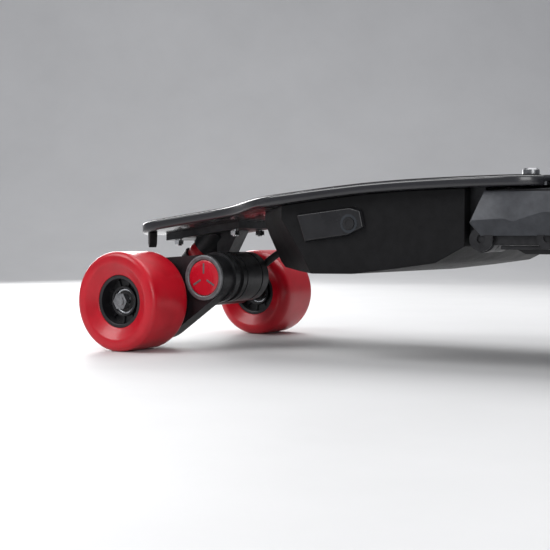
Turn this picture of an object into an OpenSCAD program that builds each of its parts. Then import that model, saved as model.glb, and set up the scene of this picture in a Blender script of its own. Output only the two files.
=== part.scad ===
// Folding electric skateboard: two half decks that fold down on a centre link,
// kingpin trucks at both ends, one belt drive, and a battery belly on the rear half.
// +X runs to the front of the board, +Z is up, the origin is on the ground under the middle.

/* [Layout] */
// Distance from an axle to its fold pin
half_len = 318; // [317:0.5:320]
// Half the distance between the two fold pins
link_half = 118; // [118:0.5:122]
// Height of the fold pins above the ground
pin_z = 95; // [94.5:0.5:95.5]
// Radius of the fold pins
pin_r = 5; // [4:0.25:5.5]

/* [Wheels] */
// Wheel diameter
wheel_d = 85; // [84:0.5:86]
// Wheel width from lip to lip
wheel_w = 52; // [50:0.5:52]
// Distance of a wheel's middle from the centre line
wheel_y = 105; // [105:0.5:107]
// Shoulder radius of the tyre
shoulder = 9.5; // [8:0.5:10]
// Edge radius of the tyre's outer face
lip = 5; // [4:0.5:6]

/* [Deck] */
// Deck thickness at the middle of the board
deck_t = 7; // [6.5:0.25:8]
// Half width of the deck at the nose
nose_w = 75; // [68:1:76]
// Half width of the deck at the middle
deck_w = 115; // [112:1:118]
// Thickness of the grip sheet
grip_t = 1; // [0.8:0.1:1.2]

/* [Drive] */
// Teeth on the wheel pulley
wheel_teeth = 40; // [38:1:40]
// Teeth on the motor pulley
motor_teeth = 16; // [15:1:17]
// Motor housing diameter
motor_d = 44; // [40:1:46]
// Belt width
belt_w = 12; // [10:0.5:12]

/* [Battery] */
// Cells along the board, in each of two layers and on each side
cell_cols = 5; // [3:1:5]
// Cell diameter
cell_d = 18.4; // [18:0.1:18.6]

/* [Hidden] */
$fn = 72;

axle_x = half_len + link_half;   // axle to the middle of the board
az = wheel_d/2;                  // axle height
motor_u = 56;                    // motor axis, along the board from the axle
motor_v = 62.3;                  // motor axis height
wp_r = wheel_teeth*5/(2*PI);     // pitch radius, 5 mm tooth pitch
mp_r = motor_teeth*5/(2*PI);
seat_y = 7;                      // bearing width
btn = [212,107];                 // button and charge socket position on the belly sides

// Underside of a half deck: distance from the axle, height
bot = [[-60,95.6],[-9,102.5],[47,110.1],[88,115.3],[116,118.7],[154,122.6],[190,126.4],[224,129.4],[257,131],[288,131.7],[318,132],[420,132]];
US = [-30,-9,18,47,68,88,102,116,135,154,172,190,207,224,240,257,272,288,303,318,340,365];
function zb(u) = lookup(u, bot);
function zt(u) = zb(u) + deck_t + 2*max(0, min(1, 1-(u+19)/240));
function rev(v) = [for (i=[len(v)-1:-1:0]) v[i]];
function side(i) = concat(
  [for (a=[0:15:90]) [-(30-i)*cos(a), nose_w-30+(30-i)*sin(a)]],
  [for (k=[0:10]) [60+9*k, nose_w-i+(deck_w-nose_w)*(1-cos(18*k))/2]],
  [for (a=[90:-15:0]) [335+(30-i)*cos(a), deck_w-30+(30-i)*sin(a)]]);
function plan(i) = concat(side(i), [for (p=rev(side(i))) [p[0],-p[1]]]);

truck_holes = [for (u=[-14.5,49], y=[-20.65,20.65]) [u,y]];
arm_holes = [for (u=[294,308], y=[-83,83]) [u,y]];

module rear() translate([-axle_x,0,0]) children();
module front() mirror([1,0,0]) rear() children();
module yc(r,y0,y1) translate([0,y0,0]) rotate([-90,0,0]) cylinder(r=r,h=y1-y0);
module at(u,z) translate([u,0,z]) children();
module prof(w) rotate([90,0,0]) linear_extrude(w,center=true) children();
module profy(y0,y1) translate([0,y1,0]) rotate([90,0,0]) linear_extrude(y1-y0) children();
module both() { children(); mirror([0,1,0]) children(); }
// frame at the kingpin ring: x along the steering axis towards the pivot, z along the kingpin
module kp() translate([-11,0,75]) rotate([0,45,0]) children();
// outline of two pulleys and the straight runs between them
module loop2(r1,r2) {
  d = sqrt(motor_u*motor_u+(motor_v-az)*(motor_v-az));
  f = atan2(motor_v-az,motor_u);
  g = acos((r1-r2)/d);
  translate([0,az]) circle(r1);
  translate([motor_u,motor_v]) circle(r2);
  polygon([[r1*cos(f+g),az+r1*sin(f+g)],[motor_u+r2*cos(f+g),motor_v+r2*sin(f+g)],
           [motor_u+r2*cos(f-g),motor_v+r2*sin(f-g)],[r1*cos(f-g),az+r1*sin(f-g)]]);
}

// ---------- decks ----------
module half_deck() difference() {
  intersection() {
    prof(2*deck_w+10) polygon(concat([for (u=US) [u,zt(u)]],[for (u=rev(US)) [u,zb(u)]]));
    translate([0,0,60]) linear_extrude(120) polygon(plan(0));
  }
  for (p=concat(truck_holes,arm_holes)) translate([p[0],p[1],0]) {
    cylinder(r=2.55,h=200);
    translate([0,0,zt(p[0])-1.5]) cylinder(r=5.2,h=20);
  }
  translate([344.5,-100.3,120]) cube([17.4,200.6,15.3]);
  both() translate([344.5,87.7,120]) cube([30,12.6,15.3]);
  both() translate([349,94,120]) { cylinder(r=3.4,h=40); translate([8.2,0,0]) cylinder(r=3.4,h=40); translate([0,-3.4,0]) cube([8.2,6.8,40]); }
}
module half_grip() difference() {
  intersection() {
    prof(2*deck_w+10) polygon(concat([for (u=US) [u,zt(u)+grip_t]],[for (u=rev(US)) [u,zt(u)]]));
    translate([0,0,60]) linear_extrude(120) polygon(plan(4));
  }
  for (p=concat(truck_holes,arm_holes)) translate([p[0],p[1],100]) cylinder(r=5.6,h=60);
  both() translate([349,94,120]) { cylinder(r=3.8,h=40); translate([8.2,0,0]) cylinder(r=3.8,h=40); translate([0,-3.8,0]) cube([8.2,7.6,40]); }
}
module half_lock() {
  translate([345,-100,132.5]) cube([8,200,2.4]);
  both() {
    translate([352,88,132.5]) cube([10.4,12,2.4]);
    translate([349,94,133]) cylinder(r=3,h=8);
    translate([349,94,140.5]) { cylinder(r=6,h=3); translate([0,0,3]) cylinder(r1=6,r2=4.6,h=1.2); }
  }
}
module half_bolts() {
  for (p=truck_holes) translate([p[0],p[1],0]) {
    translate([0,0,zb(p[0])-12]) cylinder(r=2.5,h=zt(p[0])-zb(p[0])+10.6);
    difference() { translate([0,0,zt(p[0])-1.45]) cylinder(r=5,h=2.9); translate([0,0,zt(p[0])+0.2]) cylinder(r=2.3,h=3,$fn=6); }
    difference() { translate([0,0,zb(p[0])-10.9]) cylinder(r=4.6,h=4,$fn=6); translate([0,0,60]) cylinder(r=2.5,h=80); }
  }
  for (p=arm_holes) translate([p[0],p[1],0]) {
    translate([0,0,zb(p[0])-14]) cylinder(r=2.5,h=zt(p[0])-zb(p[0])+12.6);
    difference() { translate([0,0,zt(p[0])-1.45]) cylinder(r=5,h=2.9); translate([0,0,zt(p[0])+0.2]) cylinder(r=2.3,h=3,$fn=6); }
  }
  // kingpin with its head and nut
  kp() { translate([0,0,-23]) cylinder(r=4.7,h=45.7); translate([0,0,-24]) cylinder(r=8,h=7.5,$fn=6); translate([0,0,-16.4]) cylinder(r=10.5,h=1.2); }
}
module half_feet() both() intersection() {
  profy(50,70) polygon([[-24,zb(-24)],[-13,zb(-13)],[-13.6,91],[-14.4,88.4],[-16.4,88.2],[-19,91.5]]);
  translate([0,0,80]) linear_extrude(60) polygon([[-11,55],[-22.9,55],[-21.6,57.5],[-19.2,61],[-15.9,64.3],[-11,67.5]]);
}
module hinge_arms() both() difference() {
  profy(72,94) {
    translate([half_len,pin_z]) circle(9.2);
    polygon([[287,zb(287)],[315.5,zb(315)],[half_len+7.7,pin_z+5],[half_len-5,pin_z-7.7],[301,99],[288,112]]);
  }
  at(half_len,pin_z) yc(pin_r+0.05,60,100);
  for (u=[294,308]) translate([u,83,zb(u)-14.1]) cylinder(r=2.55,h=30);
}

// ---------- link ----------
module cheek2d() {
  polygon([[-link_half-8,pin_z+9],[-link_half+6,126],[-link_half+10,130],[link_half-10,130],[link_half-6,126],[link_half+8,pin_z+9],[link_half,pin_z-4.4],[-link_half,pin_z-4.4]]);
  for (s=[-1,1]) translate([s*link_half,pin_z]) circle(9.6);
}
module link_side_plates() color("#2b2c2f") both() difference() {
  profy(96,105) cheek2d();
  for (s=[-1,1]) { translate([s*link_half,0,pin_z]) yc(pin_r,90,110); translate([s*70,0,95.5]) yc(4.5,90,110); }
}
module link_top_plate() color("#303134") {
  translate([-link_half+12,-95.8,126]) cube([2*link_half-24,191.6,4]);
  translate([-69.5,-95.8,129.9]) cube([139,191.6,2.1]);
  for (s=[-1,1]) both() translate([s*(link_half-19)-6,14,129.9]) cube([12,68,1.8]);
}
module link_bottom_cover() color("#1a1b1d") {
  translate([-105,-104,87.6]) cube([210,208,2.7]);
  prof(190) polygon([[-96,87.7],[96,87.7],[90,84.3],[-90,84.3]]);
}
module link_side_covers() color("#3a3c40") both() difference() {
  union() {
    profy(105.4,110) polygon([[-127,106.7],[-116,129.3],[-69,127.8],[69,127.8],[116,129.3],[127,106.7],[118.5,97.3],[-118.5,97.3]]);
    profy(109.9,112.8) polygon([[-123,107.5],[-112,124],[-69,122.5],[69,122.5],[112,124],[123,107.5],[115,101.5],[-115,101.5]]);
  }
  for (s=[-1,1]) { translate([s*link_half,0,pin_z]) yc(9.2,104,109.4); translate([s*70,0,95.5]) yc(8.2,104,109.4); }
}
module hinge_pins() color("#b9bcc0") {
  for (s=[-1,1]) {
    translate([s*link_half,0,pin_z]) { yc(pin_r,-105.2,105.2); both() difference() { yc(8.8,105.1,108.8); yc(3.2,107,110,$fn=24); } }
    translate([s*70,0,95.5]) { yc(4.5,-105.2,105.2); both() difference() { yc(7.8,105.1,108.8); yc(3,107,110,$fn=24); } }
  }
}
module centre_deck() color("#141517") difference() {
  translate([0,0,132]) linear_extrude(7) polygon([[-70,-84],[-62,-104],[-54,-112],[54,-112],[62,-104],[70,-84],[70,84],[62,104],[54,112],[-54,112],[-62,104],[-70,84]]);
  for (s=[-1,1]) both() translate([s*66-7.5,86.9,131]) cube([15,14.2,4.5]);
}
module centre_grip() color("#1b1b1c") translate([0,0,139]) linear_extrude(grip_t)
  polygon([[-66,-82],[-59,-100],[-52,-108],[52,-108],[59,-100],[66,-82],[66,82],[59,100],[52,108],[-52,108],[-59,100],[-66,82]]);

// ---------- belly ----------
module belly_outer() intersection() {
  prof(220) polygon(concat([[104,zb(104)-0.05],[106,97],[112,76],[118,72.5],[190,71.5],[220,72],[281,78.6],[290,83],[304,90]],
    [for (u=[304,288,257,224,190,154,116]) [u,zb(u)-0.05]]));
  translate([0,0,60]) linear_extrude(80) polygon([[100,-60],[100,60],[150,105],[306,105],[306,-105],[150,-105]]);
}
module belly_shell() color("#101113") rear() difference() {
  union() {
    difference() {
      belly_outer();
      intersection() {
        prof(204) polygon([[107,140],[109.5,98],[115.5,79],[120,75.6],[190,74.6],[220,75.1],[280.5,81.7],[288.5,85.8],[310,97],[310,140]]);
        translate([0,0,60]) linear_extrude(90) polygon([[103,-58.5],[103,58.5],[151,101.8],[312,101.8],[312,-101.8],[151,-101.8]]);
      }
    }
    intersection() { belly_outer(); translate([279,-102,70]) cube([3,204,70]); }
  }
  translate([95,0,92]) rotate([0,90,0]) cylinder(r=9,h=20);
  at(btn[0],btn[1]) yc(5.2,-110,-100);
  at(btn[0],btn[1]) yc(7.8,100,110);
}
module pad2d() polygon([[172,92.5],[211.5,97.7],[225,104],[222,117.5],[213,120],[165,114.5]]);
module belly_side_panels() color("#17181a") rear() difference() {
  both() profy(105.05,108.5) pad2d();
  at(btn[0],btn[1]) yc(7.25,-110,-104);
  at(btn[0],btn[1]) yc(7.8,104,110);
}
module status_light() color("#8fb7d6") rear() at(btn[0],btn[1]) difference() { yc(7.2,-108.8,-105.1); yc(5.1,-110,-104); }
module power_button() color("#26282b") rear() at(btn[0],btn[1]) difference() { yc(4.7,-109.4,-98); yc(2.6,-110,-109.1); }
module charge_socket() color("#202224") rear() at(btn[0],btn[1]) difference() { yc(7.7,90,108.4); yc(4,99,110); }
module charge_cap() color("#111111") rear() {
  at(btn[0],btn[1]) yc(9.5,109.1,111.2);
  translate([btn[0]-5,109.2,btn[1]]) cube([10,1.9,11.3]);
  translate([btn[0]-5,110.15,btn[1]+11.3]) rotate([0,90,0]) cylinder(r=1.05,h=10);
}
module battery_case() color("#2f3a3a") rear() difference() {
  translate([156,-71,79.8]) cube([cell_cols*19.6+8,142,41]);
  translate([158,-69,81.4]) cube([cell_cols*19.6+4,138,37.9]);
}
module battery_cells() color("#3d7f57") rear() for (i=[0:cell_cols-1], k=[0,1], s=[-1,1])
  translate([169.5+19.6*i,s*35,91+18.9*k]) { yc(cell_d/2,-32.5,31.5); yc(3,31.4,33); }
module bms_board() color("#1f5a37") rear() {
  translate([266,-55,84]) cube([1.6,110,40]);
  for (y=[-40,-14,12]) translate([267.5,y,92]) cube([4,18,12]);
  for (y=[-45,30]) translate([267.5,y,110]) cube([6,12,8]);
}
module motor_controller() color("#6d7278") rear() {
  translate([118,-44,80]) cube([32,88,22]);
  for (i=[0:8]) translate([119,-42+i*10,101.9]) cube([30,3,9]);
}

// ---------- trucks ----------
module baseplate() difference() {
  intersection() {
    union() {
      prof(56) polygon([[-24,zb(-24)-6],[-24,120],[58,120],[58,zb(58)-6]]);
      kp() translate([0,0,17.2]) cylinder(r=13,h=24);
      prof(17) polygon([[20,112],[20,60],[24,52],[29,49],[31,58],[31,80],[46,106],[46,112]]);
      kp() translate([33.6,0,0]) rotate([0,90,0]) cylinder(r=9.5,h=12);
    }
    prof(80) polygon([[-40,20],[90,20],[90,zb(90)-0.02],[88,zb(88)-0.02],[47,zb(47)-0.02],[-9,zb(-9)-0.02],[-40,zb(-40)-0.02]]);
  }
  kp() translate([0,0,10]) cylinder(r=4.8,h=12.9);
  kp() translate([28,0,0]) rotate([0,90,0]) cylinder(r=7.5,h=16);
  for (p=truck_holes) translate([p[0],p[1],40]) cylinder(r=2.55,h=100);
}
module bushings() {
  kp() difference() {
    union() {
      translate([0,0,4.05]) cylinder(r1=11,r2=12.5,h=6.5);
      translate([0,0,10.5]) cylinder(r1=12.5,r2=11,h=6.6);
      translate([0,0,-15.1]) cylinder(r1=8.5,r2=11.5,h=11.05);
    }
    translate([0,0,-30]) cylinder(r=4.8,h=60);
  }
  kp() translate([33.7,0,0]) rotate([0,90,0]) difference() { cylinder(r=7.45,h=10.2); translate([0,0,-1]) cylinder(r=5.06,h=20); }
}
module hanger() difference() {
  union() {
    difference() {
      union() {
        at(0,az) yc(10,-62,62);
        at(0,az) both() { yc(8,-10,92); translate([0,60,0]) rotate([-90,0,0]) cylinder(r1=10,r2=8,h=2.5); }
        kp() cylinder(r=14,h=8,center=true);
        kp() translate([0,-12,-4]) cube([28,24,8]);
        kp() prof(28) polygon([[14.5,3.9],[29,3.9],[32,-4],[36,-10],[38,-15],[30,-24],[22,-19],[14.5,-6]]);
      }
      kp() translate([31.8,0,0]) rotate([0,90,0]) cylinder(r=10.4,h=24);
    }
    kp() translate([20,0,0]) rotate([0,90,0]) cylinder(r=5,h=23);
  }
  kp() cylinder(r=7.6,h=40,center=true);
  at(0,az) yc(4,-100,100);
}
module axle() {
  at(0,az) yc(4,-124.7,124.7);
  at(0,az) both() {
    difference() { translate([0,118,0]) rotate([-90,0,0]) cylinder(r=7.5,h=5.8,$fn=6); yc(4,110,130); }
    difference() { yc(5.6,117.05,118); yc(4,110,130); }
    difference() { yc(5.6,92,92.95); yc(4,90,130); }
  }
}
module bearings() at(0,az) both() difference() {
  union() { yc(10.95,93,93+seat_y); yc(10.95,117-seat_y,117); yc(5.5,99.9,110.1); }
  for (s=[92.5,116.4]) difference() { yc(9.3,s,s+1.1); yc(6,s-1,s+3); }
  yc(4,90,120);
}
module tyre() at(0,az) translate([0,-wheel_y,0]) rotate([90,0,0]) rotate_extrude($fn=128)
  polygon(concat([[22.6,-(wheel_w/2-6)],[wheel_d/2-shoulder,-wheel_w/2]],
    [for (a=[15:15:90]) [wheel_d/2-shoulder+shoulder*sin(a),-wheel_w/2+shoulder-shoulder*cos(a)]],
    [for (a=[90:-15:0]) [wheel_d/2-lip+lip*sin(a),wheel_w/2-lip+lip*cos(a)]],
    [[33,wheel_w/2],[22.6,wheel_w/2-6]]));
module core() at(0,az) translate([0,-wheel_y,0]) difference() {
  union() { difference() { yc(22.55,-19.5,19.5); yc(19.5,-20,-11); yc(19.5,11,20); } yc(13,-14,14); }
  yc(8,-20,20); yc(11,4.7,20); yc(11,-20,-4.7);
}
module wheel(s) { if (s<0) children(); else mirror([0,1,0]) children(); }

// ---------- drive ----------
module motor_mount() color("#a9acb0") rear() {
  difference() {
    union() { profy(-62,-56) loop2(15.5,motor_d/2); at(0,az) yc(15.5,-56.1,-46); translate([-19,-56,az-6]) cube([8,10,12]); }
    at(0,az) yc(10,-70,-40);
    at(motor_u,motor_v) yc(8,-70,-40);
    for (a=[0:90:270]) at(motor_u+15*cos(a),motor_v+15*sin(a)) yc(1.6,-70,-50);
  }
}
module motor_housing() color("#1d1e20") rear() at(motor_u,motor_v) difference() {
  union() { yc(motor_d/2-2,-55.9,-50); yc(motor_d/2,-50.1,-10); }
  yc(motor_d/2-2.4,-48,-13);
  yc(5,-70,-40);
  for (y=[-44,-20]) difference() { yc(motor_d,y-0.8,y+0.8); yc(motor_d/2-0.8,y-1,y+1); }
}
module motor_stator() color("#b06a33") rear() at(motor_u,motor_v) difference() { yc(motor_d/2-2.5,-45,-17); yc(14.9,-50,-10); }
module motor_rotor() color("#8d9095") rear() at(motor_u,motor_v) { yc(14.5,-44,-18); yc(4,-76.3,-14); }
module motor_pulley() color("#c3c6c9") rear() at(motor_u,motor_v) difference() {
  union() { yc(mp_r-0.5,-76.2,-62.4); yc(mp_r+2.2,-63.2,-62.4); yc(mp_r+2.2,-76.3,-75.8); }
  yc(4,-80,-60);
}
module drive_belt() color("#0c0c0c") rear() profy(-63.5-belt_w,-63.5) difference() { hull() { translate([0,az]) circle(wp_r+1.6); translate([motor_u,motor_v]) circle(mp_r+1.6); } hull() { translate([0,az]) circle(wp_r+0.1); translate([motor_u,motor_v]) circle(mp_r+0.1); } }
module belt_cover() color("#131416") rear() difference() {
  union() {
    profy(-78,-62.1) loop2(36,20);
    at(-6,az-33) yc(4,-72,-62.1);
  }
  profy(-76.6,-60) loop2(34.3,18.3);
  at(0,az) yc(24,-90,-70);
}
module badge_ring() color("#9b9ea3") rear() at(motor_u,motor_v) difference() { yc(19.4,-80.4,-78.05); yc(15.5,-90,-70); }
module badge_disc() color("#c4141b") rear() at(motor_u,motor_v) {
  yc(15.3,-79.6,-78.05);
  for (a=[90,210,330]) rotate([0,-a,0]) translate([3,-80.2,-1.2]) cube([10,0.8,2.4]);
}
function bez(p,t) = pow(1-t,3)*p[0]+3*(1-t)*(1-t)*t*p[1]+3*(1-t)*t*t*p[2]+t*t*t*p[3];
module rod(a,b,r) { d=b-a; translate(a) rotate([0,acos(d[2]/norm(d)),atan2(d[1],d[0])]) cylinder(r=r,h=norm(d)); }
cable = [for (i=[0:9]) bez([[60,-9.3,66],[60,6,66],[84,0,92],[112,0,92]],i/9)];
module motor_cable() color("#151515") rear() {
  for (i=[0:8]) rod(cable[i],cable[i+1],3.3);
  for (i=[1:8]) translate(cable[i]) sphere(r=3.5,$fn=32);
}
module wheel_pulley() color("#c3c6c9") rear() at(0,az) difference() {
  union() {
    difference() { yc(wp_r-0.5,-75.8,-63.3); yc(27,-80,-72); yc(27,-67,-60); }
    yc(18,-93.7,-63.3);
  }
  yc(11,-100,-60);
  yc(13.3,-100,-90.6);
}

// ---------- front keel ----------
module front_keel() color("#101113") front() difference() {
  intersection() {
    prof(200) polygon(concat([[146,zb(146)-0.05],[176,104],[288,103],[304,108]],[for (u=[304,288,257,224,190,154]) [u,zb(u)-0.05]]));
    translate([0,0,60]) linear_extrude(80) polygon([[140,-50],[140,50],[180,92],[306,92],[306,-92],[180,-92]]);
  }
  intersection() {
    prof(200) polygon([[156,140],[178,107],[287,106],[310,113],[310,140]]);
    translate([0,0,60]) linear_extrude(90) polygon([[146,-48],[146,48],[182,89],[312,89],[312,-89],[182,-89]]);
  }
  both() translate([284,71,60]) cube([40,24,80]);
}

link_side_plates();
link_top_plate();
link_bottom_cover();
link_side_covers();
centre_deck();
centre_grip();
hinge_pins();
color("#141517") rear() half_deck();  // rear_deck
color("#1b1b1c") rear() half_grip();  // rear_grip
color("#55585c") rear() hinge_arms();  // rear_hinge_arms
belly_shell();
belly_side_panels();
status_light();
battery_case();
battery_cells();
bms_board();
motor_controller();
charge_socket();
color("#8f9296") rear() baseplate();  // rear_baseplate
color("#b9bcc0") rear() half_bolts();  // rear_bolts
color("#c4141b") rear() bushings();  // rear_bushings
color("#151515") rear() half_feet();  // rear_nose_feet
power_button();
charge_cap();
color("#c3c6c9") rear() half_lock();  // rear_lock
color("#8f9296") rear() hanger();  // rear_hanger
color("#c9ccd0") rear() axle();  // rear_axle
color("#b0b3b7") rear() bearings();  // rear_bearings
motor_mount();
motor_housing();
motor_stator();
drive_belt();
belt_cover();
badge_ring();
badge_disc();
motor_cable();
motor_rotor();
motor_pulley();
color("#c4141b") rear() tyre();  // rear_right_tyre
color("#17181a") rear() core();  // rear_right_core
wheel_pulley();
color("#c4141b") rear() wheel(1) tyre();  // rear_left_tyre
color("#17181a") rear() wheel(1) core();  // rear_left_core
color("#141517") front() half_deck();  // front_deck
color("#1b1b1c") front() half_grip();  // front_grip
color("#55585c") front() hinge_arms();  // front_hinge_arms
front_keel();
color("#8f9296") front() baseplate();  // front_baseplate
color("#b9bcc0") front() half_bolts();  // front_bolts
color("#c4141b") front() bushings();  // front_bushings
color("#151515") front() half_feet();  // front_nose_feet
color("#c3c6c9") front() half_lock();  // front_lock
color("#8f9296") front() hanger();  // front_hanger
color("#c9ccd0") front() axle();  // front_axle
color("#b0b3b7") front() bearings();  // front_bearings
color("#c4141b") front() tyre();  // front_right_tyre
color("#17181a") front() core();  // front_right_core
color("#c4141b") front() wheel(1) tyre();  // front_left_tyre
color("#17181a") front() wheel(1) core();  // front_left_core
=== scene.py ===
import bpy, bmesh, math
from mathutils import Vector, Matrix


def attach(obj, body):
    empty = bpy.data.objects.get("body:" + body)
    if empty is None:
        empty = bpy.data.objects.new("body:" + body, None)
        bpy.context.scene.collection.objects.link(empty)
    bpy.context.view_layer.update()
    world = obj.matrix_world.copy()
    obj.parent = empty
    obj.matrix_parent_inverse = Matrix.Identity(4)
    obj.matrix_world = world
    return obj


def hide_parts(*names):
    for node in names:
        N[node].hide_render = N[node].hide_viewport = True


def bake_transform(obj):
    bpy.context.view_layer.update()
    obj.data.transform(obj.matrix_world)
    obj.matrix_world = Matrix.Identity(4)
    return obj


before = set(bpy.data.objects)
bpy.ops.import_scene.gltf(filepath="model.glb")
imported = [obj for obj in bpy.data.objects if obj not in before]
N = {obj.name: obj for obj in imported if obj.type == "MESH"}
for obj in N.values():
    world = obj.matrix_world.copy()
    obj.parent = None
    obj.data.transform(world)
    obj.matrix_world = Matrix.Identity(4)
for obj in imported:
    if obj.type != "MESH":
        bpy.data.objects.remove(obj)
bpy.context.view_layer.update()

AX = 436.0
C = math.cos; S = math.sin; PI = math.pi


# ------------------------------------------------------------------ materials
def mat(name, dark, light, rough=(0.35, 0.55), scale=60.0, bump=0.08, bump_scale=900.0, metal=0.0,
        coat=0.0, aniso=None, detail=6.0, spec=0.5, emit=None, wear=None, sss=0.0, dist=0.00015, coat_rough=0.08):
    m = bpy.data.materials.new(name)
    m.use_nodes = True
    nt = m.node_tree
    for n in list(nt.nodes):
        nt.nodes.remove(n)
    out = nt.nodes.new("ShaderNodeOutputMaterial")
    b = nt.nodes.new("ShaderNodeBsdfPrincipled")
    nt.links.new(b.outputs[0], out.inputs[0])
    b.inputs["Metallic"].default_value = metal
    b.inputs["Coat Weight"].default_value = coat
    b.inputs["Coat Roughness"].default_value = coat_rough
    b.inputs["Specular IOR Level"].default_value = spec
    if sss:
        b.inputs["Subsurface Weight"].default_value = sss
        b.inputs["Subsurface Radius"].default_value = (0.004, 0.001, 0.001)
    tc = nt.nodes.new("ShaderNodeTexCoord")
    mp = nt.nodes.new("ShaderNodeMapping")
    nt.links.new(tc.outputs["Object"], mp.inputs["Vector"])
    if aniso:
        mp.inputs["Scale"].default_value = aniso
    n1 = nt.nodes.new("ShaderNodeTexNoise")
    n1.inputs["Scale"].default_value = scale
    n1.inputs["Detail"].default_value = detail
    n1.inputs["Roughness"].default_value = 0.6
    nt.links.new(mp.outputs[0], n1.inputs["Vector"])
    ramp = nt.nodes.new("ShaderNodeValToRGB")
    ramp.color_ramp.elements[0].position = 0.32
    ramp.color_ramp.elements[1].position = 0.68
    ramp.color_ramp.elements[0].color = (*dark, 1)
    ramp.color_ramp.elements[1].color = (*light, 1)
    nt.links.new(n1.outputs["Fac"], ramp.inputs[0])
    nt.links.new(ramp.outputs[0], b.inputs["Base Color"])
    mr = nt.nodes.new("ShaderNodeMapRange")
    mr.inputs["From Min"].default_value = 0.3
    mr.inputs["From Max"].default_value = 0.7
    mr.inputs["To Min"].default_value = rough[0]
    mr.inputs["To Max"].default_value = rough[1]
    n3 = nt.nodes.new("ShaderNodeTexNoise")
    n3.inputs["Scale"].default_value = scale * 0.37
    n3.inputs["Detail"].default_value = 4.0
    nt.links.new(mp.outputs[0], n3.inputs["Vector"])
    nt.links.new(n3.outputs["Fac"], mr.inputs["Value"])
    nt.links.new(mr.outputs[0], b.inputs["Roughness"])
    n2 = nt.nodes.new("ShaderNodeTexNoise")
    n2.inputs["Scale"].default_value = bump_scale
    n2.inputs["Detail"].default_value = 3.0
    nt.links.new(mp.outputs[0], n2.inputs["Vector"])
    bp = nt.nodes.new("ShaderNodeBump")
    bp.inputs["Strength"].default_value = bump
    bp.inputs["Distance"].default_value = dist
    nt.links.new(n2.outputs["Fac"], bp.inputs["Height"])
    nt.links.new(bp.outputs[0], b.inputs["Normal"])
    if emit:
        b.inputs["Emission Color"].default_value = (*emit[0], 1)
        b.inputs["Emission Strength"].default_value = emit[1]
    return m


def grip_mat():
    m = mat("grip_paper", (0.006, 0.006, 0.006), (0.03, 0.03, 0.031), rough=(0.75, 0.95), scale=1500.0,
            bump=0.9, bump_scale=1700.0, dist=0.0003)
    nt = m.node_tree
    b = next(n for n in nt.nodes if n.type == "BSDF_PRINCIPLED")
    v = nt.nodes.new("ShaderNodeTexVoronoi")
    v.inputs["Scale"].default_value = 1400.0
    tc = next(n for n in nt.nodes if n.type == "TEX_COORD")
    nt.links.new(tc.outputs["Object"], v.inputs["Vector"])
    bp = next(n for n in nt.nodes if n.type == "BUMP")
    nt.links.new(v.outputs["Distance"], bp.inputs["Height"])
    return m


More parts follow.
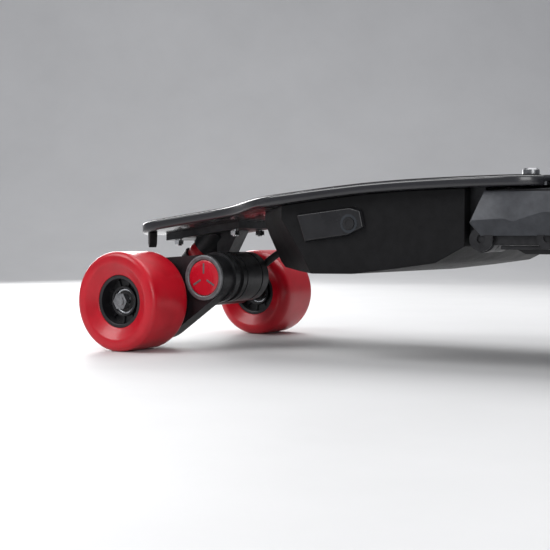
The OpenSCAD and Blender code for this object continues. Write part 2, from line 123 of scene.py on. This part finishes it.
M = {
    "urethane": mat("red_urethane", (0.40, 0.0015, 0.010), (0.52, 0.004, 0.016), rough=(0.26, 0.42), scale=45, bump=0.06, bump_scale=700, coat=0.12, spec=0.38, sss=0.06),
    "core": mat("core_nylon", (0.005, 0.005, 0.006), (0.013, 0.013, 0.015), rough=(0.28, 0.45), scale=90, bump=0.15, bump_scale=1600, spec=0.4),
    "deck": mat("deck_lacquer", (0.008, 0.008, 0.010), (0.019, 0.019, 0.022), rough=(0.20, 0.34), scale=30, bump=0.05, bump_scale=500, coat=0.35, aniso=(0.25, 2.0, 2.0)),
    "grip": grip_mat(),
    "steel": mat("turned_steel", (0.42, 0.43, 0.44), (0.68, 0.69, 0.70), rough=(0.18, 0.34), scale=220, bump=0.12, bump_scale=2200, metal=1.0),
    "axle_steel": mat("axle_steel", (0.16, 0.162, 0.168), (0.30, 0.303, 0.31), rough=(0.22, 0.38), scale=240, bump=0.15, bump_scale=2200, metal=1.0),
    "bearing": mat("bearing_steel", (0.33, 0.34, 0.36), (0.60, 0.61, 0.63), rough=(0.16, 0.30), scale=260, bump=0.08, bump_scale=2000, metal=1.0),
    "alloy": mat("cast_alloy", (0.30, 0.31, 0.32), (0.46, 0.47, 0.49), rough=(0.34, 0.52), scale=120, bump=0.35, bump_scale=1200, metal=1.0),
    "machined": mat("machined_alloy", (0.50, 0.51, 0.53), (0.70, 0.71, 0.73), rough=(0.22, 0.36), scale=300, bump=0.12, bump_scale=2400, metal=1.0),
    "dark_cast": mat("dark_cast", (0.016, 0.0165, 0.018), (0.036, 0.037, 0.040), rough=(0.32, 0.50), scale=150, bump=0.4, bump_scale=1500, metal=0.5),
    "link_grey": mat("link_grey_paint", (0.026, 0.028, 0.033), (0.044, 0.047, 0.054), rough=(0.34, 0.50), scale=120, bump=0.30, bump_scale=1900, metal=0.35),
    "black_metal": mat("black_anodised", (0.012, 0.012, 0.013), (0.028, 0.028, 0.030), rough=(0.28, 0.45), scale=160, bump=0.15, bump_scale=1800, metal=0.5),
    "belly": mat("belly_moulded", (0.0055, 0.0055, 0.006), (0.0085, 0.0085, 0.0092), rough=(0.50, 0.58), scale=140, bump=0.35, bump_scale=2300, dist=0.0002, spec=0.14),
    "panel": mat("panel_satin", (0.006, 0.006, 0.007), (0.014, 0.014, 0.016), rough=(0.22, 0.36), scale=80, bump=0.10, bump_scale=1500, spec=0.42),
    "cover": mat("cover_moulded", (0.006, 0.006, 0.007), (0.015, 0.015, 0.017), rough=(0.30, 0.46), scale=110, bump=0.25, bump_scale=2000, spec=0.36),
    "rubber": mat("black_rubber", (0.006, 0.006, 0.006), (0.016, 0.016, 0.016), rough=(0.55, 0.78), scale=150, bump=0.35, bump_scale=1400),
    "bushing": mat("bushing_urethane", (0.34, 0.002, 0.008), (0.46, 0.004, 0.014), rough=(0.30, 0.48), scale=60, bump=0.08, bump_scale=900, sss=0.1),
    "badge_grey": mat("badge_ring_metal", (0.11, 0.112, 0.118), (0.19, 0.193, 0.20), rough=(0.28, 0.44), scale=200, bump=0.2, bump_scale=1800, metal=0.35),
    "badge_red": mat("badge_enamel", (0.42, 0.002, 0.012), (0.54, 0.004, 0.020), rough=(0.20, 0.34), scale=70, bump=0.05, bump_scale=800, coat=0.3),
    "copper": mat("copper_winding", (0.40, 0.16, 0.06), (0.62, 0.28, 0.12), rough=(0.25, 0.45), scale=500, bump=0.6, bump_scale=1500, metal=1.0, aniso=(1, 8, 1)),
    "wrap": mat("battery_wrap", (0.04, 0.07, 0.07), (0.07, 0.12, 0.12), rough=(0.4, 0.6), scale=60, bump=0.2, bump_scale=600),
    "cell": mat("cell_sleeve", (0.03, 0.22, 0.10), (0.05, 0.32, 0.16), rough=(0.3, 0.45), scale=80, bump=0.05, bump_scale=600),
    "pcb": mat("circuit_board", (0.01, 0.12, 0.04), (0.02, 0.20, 0.07), rough=(0.3, 0.5), scale=900, bump=0.4, bump_scale=700),
    "light": mat("status_lens", (0.012, 0.014, 0.017), (0.026, 0.030, 0.036), rough=(0.16, 0.28), scale=90, bump=0.05, bump_scale=900, coat=0.4),
}
BYNODE = {
    "link_side_plates": "black_metal", "link_top_plate": "black_metal", "link_bottom_cover": "cover", "link_side_covers": "link_grey",
    "centre_deck": "deck", "centre_grip": "grip", "hinge_pins": "black_metal",
    "rear_hinge_arms": "dark_cast", "front_hinge_arms": "dark_cast", "belly_shell": "belly", "belly_side_panels": "panel", "status_light": "light",
    "battery_case": "wrap", "battery_cells": "cell", "bms_board": "pcb", "motor_controller": "alloy", "charge_socket": "cover",
    "rear_nose_feet": "rubber", "front_nose_feet": "rubber", "power_button": "cover", "charge_cap": "rubber",
    "rear_lock": "axle_steel", "front_lock": "axle_steel", "rear_axle": "axle_steel", "front_axle": "axle_steel", "rear_bolts": "steel", "front_bolts": "steel",
    "rear_bearings": "bearing", "front_bearings": "bearing", "rear_hanger": "dark_cast", "front_hanger": "dark_cast",
    "rear_baseplate": "dark_cast", "front_baseplate": "dark_cast", "rear_bushings": "bushing", "front_bushings": "bushing",
    "motor_mount": "dark_cast", "motor_housing": "black_metal", "motor_stator": "copper", "motor_rotor": "steel", "motor_pulley": "machined",
    "wheel_pulley": "machined", "drive_belt": "rubber", "belt_cover": "cover", "badge_ring": "badge_grey", "badge_disc": "badge_red",
    "motor_cable": "rubber", "front_keel": "belly", "rear_deck": "deck", "front_deck": "deck", "rear_grip": "grip", "front_grip": "grip",
}
for n, o in N.items():
    key = BYNODE.get(n) or ("urethane" if n.endswith("tyre") else "core")
    o.data.materials.clear()
    o.data.materials.append(M[key])


# ------------------------------------------------------------------ mesh helpers
def finish_mesh(name, me, material, body, replaces=(), smooth=30, bevel=None, segs=3, blend=None):
    o = bpy.data.objects.new(name, me)
    bpy.context.scene.collection.objects.link(o)
    bm = bmesh.new(); bm.from_mesh(me)
    bmesh.ops.remove_doubles(bm, verts=bm.verts, dist=1e-7)
    bmesh.ops.recalc_face_normals(bm, faces=bm.faces)
    bm.to_mesh(me); bm.free()
    me.materials.append(M[material])
    for p in me.polygons:
        p.use_smooth = True
    if bevel:
        b = o.modifiers.new("edge", "BEVEL")
        b.width = bevel / 1000; b.segments = segs; b.limit_method = "ANGLE"; b.angle_limit = math.radians(28)
        b.harden_normals = False; b.use_clamp_overlap = True
        w = o.modifiers.new("wn", "WEIGHTED_NORMAL"); w.keep_sharp = False; w.weight = 60
    else:
        me.set_sharp_from_angle(angle=math.radians(smooth))
    if blend:
        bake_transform(o)
    else:
        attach(o, body)
    if replaces:
        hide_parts(*replaces)
    return o


def raw(name, vs, fs):
    me = bpy.data.meshes.new(name)
    me.from_pydata([(x / 1000, y / 1000, z / 1000) for x, y, z in vs], [], fs)
    return me


def prism(pts3a, pts3b):
    """Two matching rings joined by side faces and capped."""
    n = len(pts3a)
    vs = list(pts3a) + list(pts3b)
    fs = [tuple(range(n)), tuple(range(2 * n - 1, n - 1, -1))]
    fs += [(i, (i + 1) % n, n + (i + 1) % n, n + i) for i in range(n)]
    return vs, fs


def loft(secs):
    n = len(secs[0])
    vs = [p for s in secs for p in s]
    fs = [tuple(range(n)), tuple(range(len(vs) - 1, len(vs) - 1 - n, -1))]
    for k in range(len(secs) - 1):
        a, b = k * n, (k + 1) * n
        fs += [(a + i, a + (i + 1) % n, b + (i + 1) % n, b + i) for i in range(n)]
    return vs, fs


def merge(parts):
    vs, fs = [], []
    for v, f in parts:
        k = len(vs)
        vs += v
        fs += [tuple(i + k for i in q) for q in f]
    return vs, fs


def lathe(profile, seg, x, y0, z, closed=True, flip=1):
    """profile: (radius, offset along Y) points, turned round an axis along Y."""
    n = len(profile)
    vs = []
    for k in range(seg):
        a = 2 * PI * k / seg
        for r, y in profile:
            vs.append((x + r * C(a), y0 + flip * y, z + r * S(a)))
    fs = []
    last = n if closed else n - 1
    for k in range(seg):
        a, b = k * n, ((k + 1) % seg) * n
        for i in range(last):
            j = (i + 1) % n
            fs.append((a + i, a + j, b + j, b + i))
    return vs, fs


def box(x0, x1, y0, y1, z0, z1):
    v = [(x, y, z) for x in (x0, x1) for y in (y0, y1) for z in (z0, z1)]
    f = [(0, 1, 3, 2), (4, 6, 7, 5), (0, 4, 5, 1), (2, 3, 7, 6), (0, 2, 6, 4), (1, 5, 7, 3)]
    return v, f


def X(side, u):
    return side * (AX - u)


# ------------------------------------------------------------------ deck
BOT = [(-60, 95.6), (-9, 102.5), (47, 110.1), (88, 115.3), (116, 118.7), (154, 122.6), (190, 126.4), (224, 129.4), (257, 131), (288, 131.7), (318, 132), (420, 132)]


def lin(u):
    for (a, p), (b, q) in zip(BOT, BOT[1:]):
        if u <= b:
            return p + (q - p) * (u - a) / (b - a)
    return 132.0


def zb(u):
    # the same line as the CAD, softened over 20 mm so that it bends without corners
    return sum(lin(u + d) * w for d, w in ((-14, 1), (-7, 2), (0, 3), (7, 2), (14, 1))) / 9.0


def zt(u):
    return zb(u) + 7 + 2 * max(0.0, min(1.0, 1 - (u + 19) / 240.0))


def half_w(u, inset=0.0):
    if u < 0:
        r = 30 - inset
        return 45 + math.sqrt(max(0.0, r * r - u * u))
    if u < 60:
        return 75 - inset
    if u < 150:
        return 75 - inset + 40 * (1 - C(PI * (u - 60) / 90)) / 2
    if u < 335:
        return 115 - inset
    r = 30 - inset
    return 85 + math.sqrt(max(0.0, r * r - (u - 335) ** 2))


def stations(inset):
    r = 30 - inset
    st = [-r * C(PI / 2 * k / 9) for k in range(10)]
    st += [6 * k for k in range(1, 10)] + [60 + 4.5 * k for k in range(0, 21)] + [150 + 9.25 * k for k in range(1, 21)]
    st += [335 + r * S(PI / 2 * k / 9) for k in range(1, 10)]
    return st


def slab(side, inset, lo, hi, rad):
    secs = []
    for u in stations(inset):
        w = half_w(u, inset)
        a, b = lo(u), hi(u)
        rr = min(rad, (b - a) / 2 * 0.98)
        sec = []
        for cy, cz, a0 in ((w - rr, b - rr, 90), (-w + rr, b - rr, 180), (-w + rr, a + rr, 270), (w - rr, a + rr, 0)):
            for t in ((0, 22.5, 45, 67.5, 90) if a0 in (180,) or a0 == 270 else (90 - 90, 22.5, 45, 67.5, 90)):
                ang = math.radians(a0 - 90 + t)
                sec.append((X(side, u), cy + rr * C(ang), cz + rr * S(ang)))
        secs.append(sec)
    return loft(secs)


def cutter(parts):
    v, f = merge(parts)
    me = raw("cut", v, f)
    o = bpy.data.objects.new("cut", me)
    bpy.context.scene.collection.objects.link(o)
    bm = bmesh.new(); bm.from_mesh(me); bmesh.ops.recalc_face_normals(bm, faces=bm.faces); bm.to_mesh(me); bm.free()
    return o


def carve(o, cut):
    m = o.modifiers.new("cut", "BOOLEAN")
    m.operation = "DIFFERENCE"; m.object = cut; m.solver = "EXACT"
    dg = bpy.context.evaluated_depsgraph_get()
    me = bpy.data.meshes.new_from_object(o.evaluated_get(dg))
    o.modifiers.clear()
    o.data = me
    bpy.data.objects.remove(cut)
    me.set_sharp_from_angle(angle=math.radians(30))
    return o


def slot_ring(x, y, half, r, z0, z1, seg=10):
    ring = [(x + half + r * C(-PI / 2 + PI * k / seg), y + r * S(-PI / 2 + PI * k / seg)) for k in range(seg + 1)]
    ring += [(x - half + r * C(PI / 2 + PI * k / seg), y + r * S(PI / 2 + PI * k / seg)) for k in range(seg + 1)]
    return prism([(a, b, z0) for a, b in ring], [(a, b, z1) for a, b in ring])


def ring_z(x, y, r, z0, z1, seg=28):
    p = [(x + r * C(2 * PI * k / seg), y + r * S(2 * PI * k / seg)) for k in range(seg)]
    return prism([(a, b, z0) for a, b in p], [(a, b, z1) for a, b in p])


HOLES = [(u, y) for u in (-14.5, 49) for y in (-20.65, 20.65)] + [(u, y) for u in (294, 308) for y in (-83, 83)]
for side, half in ((-1, "rear"), (1, "front")):
    body = half + "_half"
    v, f = slab(side, 0, zb, zt, 1.9)
    deck = finish_mesh(half + "_deck_board", raw("d", v, f), "deck", body, [half + "_deck"], smooth=26)
    cuts = [slot_ring(X(side, 353.1), y, 4.1, 3.4, 120, 150) for y in (-94, 94)]
    cuts += [ring_z(X(side, u), y, 5.25, zt(u) - 1.9, 160) for u, y in HOLES]
    carve(deck, cutter(cuts))
    carve(deck, cutter([box(*sorted((X(side, 344.5), X(side, 361.9))), -100.3, 100.3, 120, 135.3)]))
    carve(deck, cutter([box(*sorted((X(side, 344.6), X(side, 374.5))), *sorted((s * 87.7, s * 100.2)), 120, 135.2) for s in (-1, 1)]))
    v, f = slab(side, 4, lambda u: zt(u) - 0.05, lambda u: zt(u) + 0.95, 0.4)
    grip = finish_mesh(half + "_grip_sheet", raw("g", v, f), "grip", body, [half + "_grip"], smooth=26)
    cuts = [slot_ring(X(side, 353.1), y, 4.1, 3.8, 120, 150) for y in (-94, 94)]
    cuts += [ring_z(X(side, u), y, 5.6, 90, 160) for u, y in HOLES]
    carve(grip, cutter(cuts))


# ------------------------------------------------------------------ wheels
def tyre_profile():
    """(radius, offset): the negative side faces outwards, with a tighter edge than the inner side."""
    def lip(rc, yc_, r):
        return [(rc + r * S(math.radians(k)), -yc_ - r * C(math.radians(k))) for k in range(8, 91, 6)]
    cone = [(22.62, -19.8), (23.3, -20.5)] + [(24.5 + 6.5 * t, -20.95 - 3.95 * t) for t in (0.0, 0.25, 0.5, 0.75, 1.0)]
    outer = cone + [(31.7, -25.3), (32.5, -25.72), (33.3, -25.93), (34.6, -26.0), (36.4, -26.0)] + lip(37.5, 21.0, 5.0) + [(42.5, -16)]
    inner = cone + [(31.7, -25.3), (32.4, -25.75), (33.2, -26.0)] + lip(33.0, 16.5, 9.5)
    tread = [(42.5, -12), (42.5, -6), (42.5, 0), (42.5, 6), (42.5, 12)]
    return outer + tread + [(r, -y) for r, y in inner][::-1]


def core_parts(x, yc, z):
    """rim, hub, web with ribs: a spoked core that keeps inside the CAD one."""
    rim = [(19.6, -19.2), (20.2, -19.5), (22.3, -19.5), (22.5, -19.3), (22.5, 19.3), (22.3, 19.5), (20.2, 19.5), (19.6, 19.2), (19.4, 12.0), (19.4, -12.0)]
    hub = [(11.02, -13.8), (11.3, -14.0), (12.6, -14.0), (13.0, -13.6), (13.0, 13.6), (12.6, 14.0), (11.3, 14.0), (11.02, 13.8), (11.02, 4.72), (8.0, 4.72), (8.0, -4.72), (11.02, -4.72)]
    web = [(12.9, -9.5), (19.6, -9.5), (19.6, 9.5), (12.9, 9.5)]
    parts = [lathe(rim, 96, x, yc, z), lathe(hub, 72, x, yc, z), lathe(web, 72, x, yc, z)]
    for k in range(10):
        a = 2 * PI * k / 10 + 0.15
        for s in (-1, 1):
            rib = [(12.8, -1.0), (19.7, -1.3), (19.7, 1.3), (12.8, 1.0)]
            pts = [(x + r * C(a) - t * S(a), z + r * S(a) + t * C(a)) for r, t in rib]
            parts.append(prism([(p[0], yc + s * 9.4, p[1]) for p in pts], [(p[0], yc + s * (10.9 if i in (0, 3) else 10.9), p[1]) for i, p in enumerate(pts)]))
    return merge(parts)


for side, half in ((-1, "rear"), (1, "front")):
    for s, hand in ((-1, "right"), (1, "left")):
        nm = f"{half}_{hand}"
        x = side * AX
        v, f = lathe(tyre_profile(), 144, x, s * 105, 42.5, flip=-s)
        finish_mesh(nm + "_tyre_urethane", raw("t", v, f), "urethane", nm + "_wheel", [nm + "_tyre"], smooth=40)
        v, f = core_parts(x, s * 105, 42.5)
        finish_mesh(nm + "_core_moulding", raw("c", v, f), "core", nm + "_wheel", [nm + "_core"], smooth=35)


# bearing seals, set in the grooves of the bearings
for side, half in ((-1, "rear"), (1, "front")):
    seals = []
    for s in (-1, 1):
        for y0, y1 in ((116.42, 116.75), (93.25, 93.58)):
            lo_, hi_ = y0 - 105, y1 - 105
            seals.append(lathe([(6.1, lo_), (9.2, lo_), (9.2, hi_), (8.6, hi_), (8.3, (lo_ + hi_) / 2), (7.0, (lo_ + hi_) / 2), (6.7, hi_), (6.1, hi_)], 56, side * AX, s * 105, 42.5, flip=s))
    v, f = merge(seals)
    finish_mesh(half + "_bearing_seals", raw("s", v, f), "rubber", half + "_truck", smooth=30)


# ------------------------------------------------------------------ belly
def cut_plane(bm, co, no):
    r = bmesh.ops.bisect_plane(bm, geom=bm.verts[:] + bm.edges[:] + bm.faces[:], plane_co=[c / 1000 for c in co], plane_no=no, clear_outer=True)
    edges = [e for e in r["geom_cut"] if isinstance(e, bmesh.types.BMEdge)]
    if edges:
        bmesh.ops.contextual_create(bm, geom=edges)


def belly_mesh(y_half, prof_pts, planes):
    a = [(X(-1, u), -y_half, z) for u, z in prof_pts]
    b = [(X(-1, u), y_half, z) for u, z in prof_pts]
    v, f = prism(a, b)
    me = raw("belly", v, f)
    bm = bmesh.new(); bm.from_mesh(me)
    bmesh.ops.recalc_face_normals(bm, faces=bm.faces)
    for co, no in planes:
        cut_plane(bm, co, no)
        bmesh.ops.recalc_face_normals(bm, faces=bm.faces)
    bm.to_mesh(me); bm.free()
    return me


def plane3(p, q, r, inside):
    p, q, r = Vector(p), Vector(q), Vector(r)
    n = (q - p).cross(r - p).normalized()
    if n.dot(Vector(inside) - p) > 0:
        n = -n
    return tuple(p), tuple(n)


top = [(u, lin(u) - 0.1) for u in (304, 288, 257, 224, 190, 154, 116, 107)]
prof = [(107, 99), (113, 76.5), (119, 71.6), (150, 69.3), (175, 68.2), (210, 68.5), (250, 73.2), (281, 77.6), (290, 82.2), (304, 89.7)] + top
planes = []
for s in (-1, 1):
    planes.append(plane3((X(-1, 143), s * 105, 121), (X(-1, 174), s * 105, 75), (X(-1, 107), s * 62, 110), (X(-1, 200), 0, 100)))
    planes.append(plane3((X(-1, 107), s * 62, 90), (X(-1, 150), s * 105, 90), (X(-1, 107), s * 62, 110), (X(-1, 200), 0, 100)))
    planes.append(plane3((X(-1, 160), s * 101.5, 70), (X(-1, 300), s * 101.5, 70), (X(-1, 300), s * 105.0, 80), (X(-1, 200), 0, 100)))
me = belly_mesh(105, prof, planes)
finish_mesh("belly_housing", me, "belly", "rear_half", ["belly_shell"], bevel=1.6)

pad = [(172, 92.5), (211.5, 97.7), (225, 104), (222, 117.5), (213, 120), (165, 114.5)]
for s, nm in ((-1, "right"), (1, "left")):
    outer = [(X(-1, u), s * 105.0, z) for u, z in pad]
    cx, cz = 194, 107
    inner = [(X(-1, cx + (u - cx) * 0.95), s * 108.5, cz + (z - cz) * 0.90) for u, z in pad]
    v, f = prism(outer, inner)
    finish_mesh("belly_pad_" + nm, raw("p", v, f), "panel", "rear_half", ["belly_side_panels"] if s < 0 else [], bevel=0.7)

# ------------------------------------------------------------------ link covers
for s, nm in ((-1, "right"), (1, "left")):
    half = [(-127.0, 106.7), (-116.0, 129.3), (-69.0, 127.8), (0.0, 127.6)]
    low = [(0.0, 97.3), (-118.5, 97.3)]
    outline = half + [(-x, z) for x, z in half[:-1][::-1]] + [(118.5, 97.3), (-118.5, 97.3)]
    # ridge points stand proud, the rim lies back
    ridge = [(-123.5, 108.3), (-101, 109.2), (-93, 107.2), (-73, 113.3), (0, 113.3), (73, 113.3), (93, 107.2), (101, 109.2), (123.5, 108.3)]
    vs, fs = [], []
    def add(x, y, z):
        vs.append((x, s * y, z)); return len(vs) - 1
    upper = [(-127.0, 106.9), (-116.0, 129.3), (-104, 128.9), (-69.0, 127.8), (0, 127.6), (69, 127.8), (104, 128.9), (116, 129.3), (127, 106.9)]
    lower = [(-127.0, 106.5), (-118.5, 97.3), (-96, 97.3), (-69, 97.3), (0, 97.3), (69, 97.3), (96, 97.3), (118.5, 97.3), (127, 106.5)]
    rU = [add(x, 108.2, z) for x, z in upper]
    rR = [add(x, 112.7, z) for x, z in ridge]
    rL = [add(x, 108.6, z) for x, z in lower]
    bU = [add(x, 105.45, z) for x, z in upper]
    bL = [add(x, 105.45, z) for x, z in lower]
    for i in range(8):
        fs.append((rU[i], rU[i + 1], rR[i + 1], rR[i]))
        fs.append((rR[i], rR[i + 1], rL[i + 1], rL[i]))
        fs.append((bU[i], bU[i + 1], rU[i + 1], rU[i]))
        fs.append((rL[i], rL[i + 1], bL[i + 1], bL[i]))
        fs.append((bU[i], bL[i], bL[i + 1], bU[i + 1]))
    fs.append((rU[0], rR[0], rL[0])); fs.append((rU[8], rL[8], rR[8]))
    fs.append((bU[0], rU[0], rL[0], bL[0])); fs.append((bU[8], bL[8], rL[8], rU[8]))
    o = finish_mesh("link_cover_" + nm, raw("lc", vs, fs), "link_grey", "link", ["link_side_covers"] if s < 0 else [], bevel=0.45, segs=2)


# ------------------------------------------------------------------ badge on the belt cover
MU, MV = 56.0, 62.3
ringp = [(15.55, -78.1), (15.55, -79.6), (15.8, -80.0), (16.3, -80.35), (17.0, -80.4), (17.15, -80.15), (17.45, -80.15), (17.6, -80.4), (18.8, -80.4), (19.2, -80.2), (19.4, -79.8), (19.4, -78.1)]
v, f = lathe(ringp, 96, X(-1, MU), 0, MV)
finish_mesh("badge_bezel", raw("b", v, f), "badge_grey", "rear_truck", ["badge_ring"], smooth=35)
disc = [(0.001, -79.85), (6.0, -79.82), (11.0, -79.74), (14.4, -79.6), (15.1, -79.4), (15.3, -79.1), (15.3, -78.1), (0.001, -78.1)]
v, f = lathe(disc, 72, X(-1, MU), 0, MV)
finish_mesh("badge_enamel_disc", raw("b", v, f), "badge_red", "rear_truck", ["badge_disc"], smooth=50)
bars = []
for k in (90, 210, 330):
    c, s_ = C(math.radians(k)), S(math.radians(k))
    q = [(3.4, -1.0), (12.6, -1.0), (12.6, 1.0), (3.4, 1.0)]
    ring = [(X(-1, MU) + r * c - t * s_, MV + r * s_ + t * c) for r, t in q]
    top_ = [(X(-1, MU) + r * c - t * s_, MV + r * s_ + t * c) for r, t in [(3.8, -0.6), (12.2, -0.6), (12.2, 0.6), (3.8, 0.6)]]
    bars.append(prism([(a_, -79.5, b_) for a_, b_ in ring], [(a_, -80.2, b_) for a_, b_ in top_]))
v, f = merge(bars)
finish_mesh("badge_bars", raw("b", v, f), "badge_grey", "rear_truck", smooth=30)

# ------------------------------------------------------------------ motor cable, from the motor up to the belly
def bez(p, t):
    return [sum(w * q[i] for w, q in zip(((1 - t) ** 3, 3 * t * (1 - t) ** 2, 3 * t * t * (1 - t), t ** 3), p)) for i in range(3)]


ctrl = [(60, -9.3, 66), (60, 6, 66), (84, 0, 92), (112, 0, 92)]
pts = [Vector(bez(ctrl, k / 48)) for k in range(49)]
vs, fs, n = [], [], 20
up = Vector((0, 0, 1))
for k, p in enumerate(pts):
    t = (pts[min(k + 1, 48)] - pts[max(k - 1, 0)]).normalized()
    a = (up - t * up.dot(t)).normalized(); up = a
    b = t.cross(a)
    for i in range(n):
        q = p + (a * C(2 * PI * i / n) + b * S(2 * PI * i / n)) * (3.3 if k % 4 else 3.18)
        vs.append((X(-1, q[0]), q[1], q[2]))
for k in range(48):
    for i in range(n):
        j = (i + 1) % n
        fs.append((k * n + i, k * n + j, (k + 1) * n + j, (k + 1) * n + i))
fs += [tuple(range(n)), tuple(range(49 * n - 1, 48 * n - 1, -1))]
finish_mesh("motor_lead", raw("m", vs, fs), "rubber", None, ["motor_cable"], smooth=50,
            blend=("rear_truck", "rear_half", (-0.374, 0, 0.066), (-0.332, 0, 0.092)))


# ------------------------------------------------------------------ bushings, squeezed between hanger and baseplate
def kp_lathe(side, profile, seg=64, axis="z"):
    """profile: (radius, offset) turned about the kingpin (z) or the pivot line (x)."""
    vs, fs, n = [], [], len(profile)
    for k in range(seg):
        t = 2 * PI * k / seg
        for r, h in profile:
            p = (r * C(t), r * S(t), h) if axis == "z" else (h, r * C(t), r * S(t))
            vs.append((X(side, -11 + (p[0] + p[2]) / math.sqrt(2)), p[1], 75 + (p[2] - p[0]) / math.sqrt(2)))
    for k in range(seg):
        a, b = k * n, ((k + 1) % seg) * n
        for i in range(n):
            j = (i + 1) % n
            fs.append((a + i, a + j, b + j, b + i))
    return vs, fs


for side, half in ((-1, "rear"), (1, "front")):
    def kx(c):
        return (X(side, -11 + c / math.sqrt(2)) / 1000, 0, (75 + c / math.sqrt(2)) / 1000)
    barrel = [(4.85, 4.05), (10.6, 4.05), (11.0, 4.3), (11.5, 6.2), (12.1, 8.4), (12.5, 10.0), (12.5, 11.0), (12.1, 12.8), (11.5, 15.0), (11.0, 16.85), (10.6, 17.1), (4.85, 17.1)]
    cone = [(4.85, -15.1), (8.1, -15.1), (8.5, -14.8), (9.6, -11.0), (10.6, -7.4), (11.45, -4.4), (11.2, -4.05), (4.85, -4.05)]
    v, f = kp_lathe(side, barrel)
    finish_mesh(half + "_board_bushing", raw("k", v, f), "bushing", None, [half + "_bushings"], smooth=40,
                blend=(half + "_half", half + "_truck", kx(17.0), kx(4.1)))
    v, f = kp_lathe(side, cone)
    finish_mesh(half + "_road_bushing", raw("k", v, f), "bushing", None, smooth=40,
                blend=(half + "_half", half + "_truck", kx(-15.0), kx(-4.1)))
    v, f = kp_lathe(side, [(5.1, 33.7), (7.1, 33.7), (7.45, 34.05), (7.45, 43.5), (7.1, 43.85), (5.1, 43.85)], seg=48, axis="x")
    finish_mesh(half + "_pivot_cup", raw("k", v, f), "rubber", half + "_half", smooth=40)


# ------------------------------------------------------------------ soften the carried-over CAD edges
def soften(n, width=0.35, segs=2, angle=32):
    o = N[n]
    for p in o.data.polygons:
        p.use_smooth = True
    if "custom_normal" in o.data.attributes:
        o.data.attributes.remove(o.data.attributes["custom_normal"])
    for e in list(o.modifiers):
        o.modifiers.remove(e)
    w = o.modifiers.new("weld", "WELD"); w.merge_threshold = 2e-6
    b = o.modifiers.new("edge", "BEVEL")
    b.width = width / 1000; b.segments = segs; b.limit_method = "ANGLE"; b.angle_limit = math.radians(angle); b.use_clamp_overlap = True
    m = o.modifiers.new("wn", "WEIGHTED_NORMAL"); m.keep_sharp = False; m.weight = 60


for n in N:
    if N[n].hide_render or n in ("motor_cable", "status_light"):
        continue
    soften(n, 0.25 if n in ("power_button", "rear_bolts", "front_bolts") else (0.9 if n.endswith("feet") else 0.4))

# ------------------------------------------------------------------ stage
def stage_plane():
    me = bpy.data.meshes.new("floor")
    pts = [(-6, -6), (6, -6), (6, 6), (-6, 6)]
    k = 16
    vs, fs = [], []
    # a floor that sweeps up behind the board, away from the camera
    az = math.radians(33.6)
    fwd, right = (-S(az), C(az)), (C(az), S(az))
    prof_ = [(-3.0, 0.0), (1.6, 0.0)] + [(1.6 + 1.2 * S(PI / 2 * i / k), 1.2 - 1.2 * C(PI / 2 * i / k)) for i in range(1, k + 1)] + [(2.8, 5.0)]
    for d, z in prof_:
        for w in (-7, 7):
            vs.append((fwd[0] * d + right[0] * w - 0.2, fwd[1] * d + right[1] * w, z))
    for i in range(len(prof_) - 1):
        fs.append((2 * i, 2 * i + 1, 2 * i + 3, 2 * i + 2))
    me.from_pydata(vs, [], fs)
    for p in me.polygons:
        p.use_smooth = True
    o = bpy.data.objects.new("floor", me)
    bpy.context.scene.collection.objects.link(o)
    o.data.materials.append(mat("floor_paper", (0.60, 0.60, 0.60), (0.64, 0.64, 0.64), rough=(0.55, 0.7), scale=4, bump=0.02, bump_scale=40))


stage_plane()


def area(name, loc, target, size, power, sy=None):
    l = bpy.data.lights.new(name, "AREA")
    l.energy = power; l.size = size; l.shape = "RECTANGLE"; l.size_y = sy or size
    o = bpy.data.objects.new(name, l)
    bpy.context.scene.collection.objects.link(o)
    o.location = loc
    o.rotation_euler = (Vector(target) - Vector(loc)).to_track_quat("-Z", "Y").to_euler()
    return o


area("key", (-1.3, -1.2, 1.5), (-0.3, 0, 0.08), 1.2, 26)
area("top", (-0.1, 0.5, 1.7), (-0.1, 0, 0.1), 1.6, 24)
area("side", (1.1, -1.3, 0.7), (-0.1, -0.1, 0.08), 0.9, 12)
area("rim", (-1.5, 0.9, 0.6), (-0.4, 0, 0.08), 0.8, 14)
w = bpy.data.worlds.new("studio")
bpy.context.scene.world = w
w.use_nodes = True
w.node_tree.nodes["Background"].inputs[0].default_value = (0.9, 0.92, 1.0, 1)
w.node_tree.nodes["Background"].inputs[1].default_value = 0.35

cam = bpy.data.cameras.new("camera")
co = bpy.data.objects.new("camera", cam)
bpy.context.scene.collection.objects.link(co)
bpy.context.scene.camera = co
az, pitch, f_px = math.radians(31.99), math.radians(1.697), 1091.5
co.location = (0.1675, -0.8407, 0.0925)
d = Vector((-S(az) * C(pitch), C(az) * C(pitch), -S(pitch)))
co.rotation_euler = d.to_track_quat("-Z", "Y").to_euler()
cam.sensor_width = 36.0
cam.lens = f_px / 550.0 * 36.0
cam.clip_start = 0.02
bpy.context.scene.view_settings.view_transform = "Standard"
